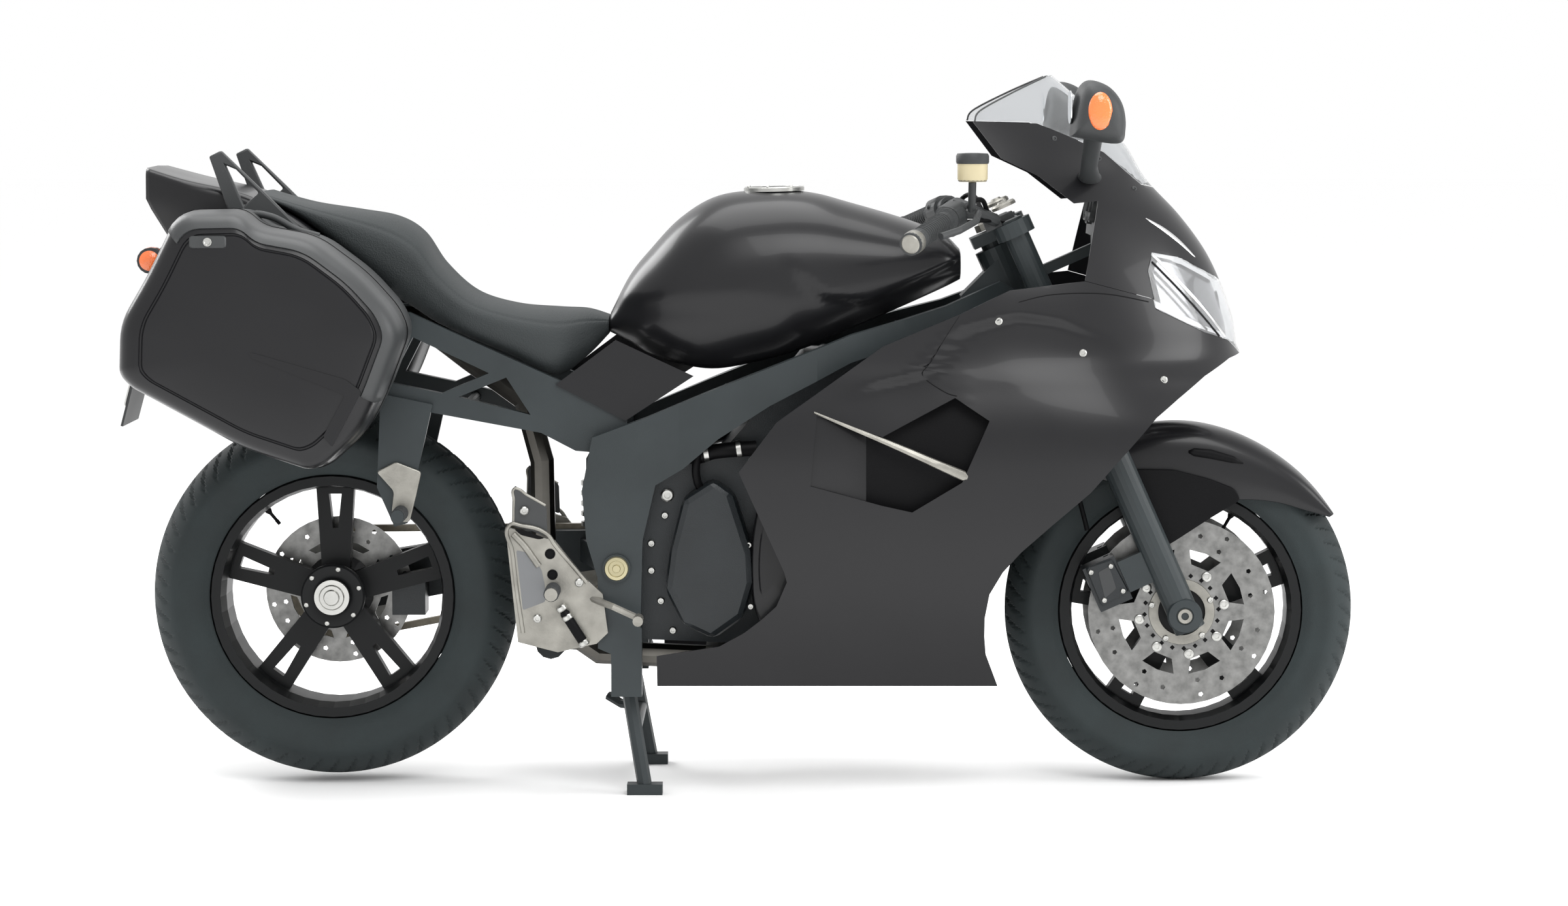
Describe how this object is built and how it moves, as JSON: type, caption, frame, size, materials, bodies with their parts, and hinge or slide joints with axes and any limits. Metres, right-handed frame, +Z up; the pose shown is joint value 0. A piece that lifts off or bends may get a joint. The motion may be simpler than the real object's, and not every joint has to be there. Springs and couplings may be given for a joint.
{
  "type": "sport touring motorcycle",
  "caption": "Fully faired sport touring motorcycle with hard panniers and a single-sided rear arm, parked on its centre stand.",
  "frame": {"origin": "on the floor, at the middle of the length and of the width", "axes": "+X forward, +Y to the rider's left, +Z up"},
  "size_m": [2.1146, 0.92, 1.218],
  "materials": {
    "body_paint": "gloss",
    "frame_paint": "satin",
    "engine_paint": "satin",
    "wheel_paint": "satin",
    "tyre": "matt",
    "grip_rubber": "matt",
    "seat_cover": "matt",
    "steel": "brushed",
    "alloy": "cast",
    "black_plastic": "matt",
    "grey_plastic": "satin",
    "lamp_lens": "clear",
    "red_lens": "gloss",
    "screen": "clear"
  },
  "bodies": {
    "chassis": {"drive_chain": "steel", "engine": "engine_paint", "exhaust_pipes": "steel", "fairing_stay": "frame_paint", "foot_bracket_left": "alloy", "foot_bracket_right": "alloy", "fuel_tank": "body_paint", "grab_rail_left": "grey_plastic", "grab_rail_right": "grey_plastic", "headlamp": "lamp_lens", "instrument_panel": "black_plastic", "main_frame": "frame_paint", "mirror_left": "black_plastic", "mirror_right": "black_plastic", "nose_fairing": "body_paint", "pannier_case_left": "body_paint", "pannier_case_right": "body_paint", "pillion_hanger_left": "alloy", "pillion_hanger_right": "alloy", "radiator": "black_plastic", "rear_caliper": "engine_paint", "rear_mudguard": "black_plastic", "rear_shock": "steel", "rear_subframe": "frame_paint", "seat": "seat_cover", "side_fairing_left": "body_paint", "side_fairing_right": "body_paint", "side_panel_left": "body_paint", "side_panel_right": "body_paint", "silencer": "steel", "swingarm": "frame_paint", "tail_fairing": "body_paint", "tail_light": "red_lens", "windscreen": "screen"},
    "steering": {"fork_slider_left": "frame_paint", "fork_slider_right": "frame_paint", "front_caliper_left": "engine_paint", "front_caliper_right": "engine_paint", "fork_yokes": "frame_paint", "front_axle": "steel", "handlebar_left": "black_plastic", "handlebar_right": "black_plastic", "grip_left": "grip_rubber", "grip_right": "grip_rubber", "brake_lever": "alloy", "clutch_lever": "alloy", "front_mudguard": "body_paint"},
    "front_wheel": {"front_wheel": "wheel_paint", "front_tyre": "tyre", "front_disc_left": "steel", "front_disc_right": "steel"},
    "rear_wheel": {"rear_wheel": "wheel_paint", "rear_tyre": "tyre", "rear_disc": "steel", "rear_axle": "steel"},
    "centre_stand": {"centre_stand": "frame_paint"},
    "side_stand": {"side_stand": "frame_paint"},
    "pannier_lid_left": {"pannier_lid_left": "body_paint"},
    "pannier_lid_right": {"pannier_lid_right": "body_paint"}
  },
  "joints": [
    {"name": "steering", "type": "hinge", "parent": "chassis", "child": "steering", "pos_m": [0.46213, 0, 0.865], "axis": [-0.4067, 0, 0.9135], "range_deg": [-27, 27]},
    {"name": "front_wheel_spin", "type": "hinge", "parent": "steering", "child": "front_wheel", "pos_m": [0.75725, 0, 0.3], "axis": [0, 1, 0], "continuous": true},
    {"name": "rear_wheel_spin", "type": "hinge", "parent": "chassis", "child": "rear_wheel", "pos_m": [-0.69975, 0, 0.326], "axis": [0, 1, 0], "continuous": true},
    {"name": "centre_stand_fold", "type": "hinge", "parent": "chassis", "child": "centre_stand", "pos_m": [-0.19126, 0, 0.1827], "axis": [0, 1, 0], "range_deg": [0, 85]},
    {"name": "side_stand_fold", "type": "hinge", "parent": "chassis", "child": "side_stand", "pos_m": [-0.17669, 0.2108, 0.20219], "axis": [-0.058, -0.8105, -0.5829], "range_deg": [0, 116]},
    {"name": "pannier_lid_left_open", "type": "hinge", "parent": "chassis", "child": "pannier_lid_left", "pos_m": [-0.84618, 0.32, 0.61631], "axis": [-0.9207, 0, 0.3903], "range_deg": [0, 80]},
    {"name": "pannier_lid_right_open", "type": "hinge", "parent": "chassis", "child": "pannier_lid_right", "pos_m": [-0.84618, -0.32, 0.61631], "axis": [0.9207, 0, -0.3903], "range_deg": [0, 80]}
  ]
}
